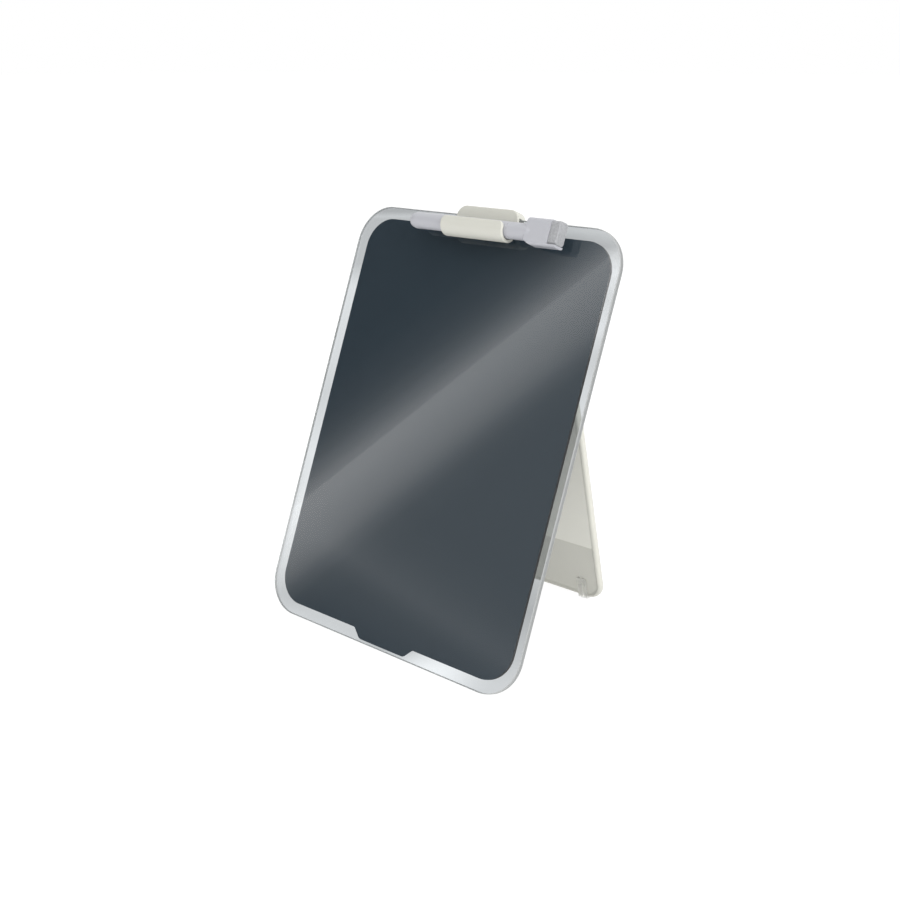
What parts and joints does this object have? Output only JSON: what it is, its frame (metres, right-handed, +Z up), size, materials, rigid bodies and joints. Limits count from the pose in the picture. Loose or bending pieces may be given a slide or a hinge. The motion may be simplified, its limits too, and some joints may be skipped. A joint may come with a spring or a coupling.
{
  "type": "desktop glass whiteboard",
  "caption": "Desktop glass whiteboard on a folding rear stand, with a clip-on pen holder and a capped marker with felt eraser.",
  "frame": {"origin": "on the surface it stands on, at the middle of the whole object's footprint, with the stand open", "axes": "+X to the viewer's right, +Y away from the viewer, +Z up; the writing face looks towards -Y"},
  "size_m": [0.215, 0.1618, 0.2688],
  "materials": {
    "clear_glass": "clear, polished edges",
    "dark_print": "even dark grey print seen through glass",
    "bond": "matt",
    "back_panel": "fine grained",
    "off_white": "satin moulded",
    "cover_white": "satin moulded, a shade lighter than the shell",
    "rivet_metal": "satin",
    "steel": "brushed",
    "clear_soft": "translucent, soft",
    "pad_soft": "soft, matt",
    "pen_grey": "satin",
    "fibre": "ink-soaked fibre",
    "nib_felt": "dense felt",
    "eraser_felt": "pressed felt"
  },
  "bodies": {
    "board": {"glass_panel": "clear_glass", "dark_print": "dark_print", "bond_sheet": "bond", "back_panel": "back_panel", "hinge_bracket": "off_white", "bracket_rivets": "rivet_metal", "hinge_pin": "steel", "hinge_washers": "steel"},
    "stand": {"stand_shell": "off_white", "stand_cover": "cover_white", "stand_foot_left": "clear_soft", "stand_foot_right": "clear_soft"},
    "holder": {"pen_holder": "off_white", "holder_pad_front": "pad_soft", "holder_pad_rear": "pad_soft"},
    "pen": {"pen_barrel": "pen_grey", "pen_end_plug": "pen_grey", "ink_reservoir": "fibre", "nib_holder": "pen_grey", "nib": "nib_felt"},
    "cap": {"pen_cap": "pen_grey", "cap_liner": "pen_grey", "felt_eraser": "eraser_felt"}
  },
  "joints": [
    {"name": "stand_hinge", "type": "hinge", "parent": "board", "child": "stand", "pos_m": [0, 0.02052, 0.23367], "axis": [-1, 0, 0], "range_deg": [0, 34.9]},
    {"name": "holder_lift", "type": "slide", "parent": "board", "child": "holder", "axis": [0, 0.3649, 0.9311], "range_m": [0, 0.018]},
    {"name": "pen_lift", "type": "slide", "parent": "holder", "child": "pen", "axis": [0, 0.3649, 0.9311], "range_m": [0, 0.03]},
    {"name": "cap_pull", "type": "slide", "parent": "pen", "child": "cap", "axis": [1, 0, 0], "range_m": [0, 0.03]}
  ]
}
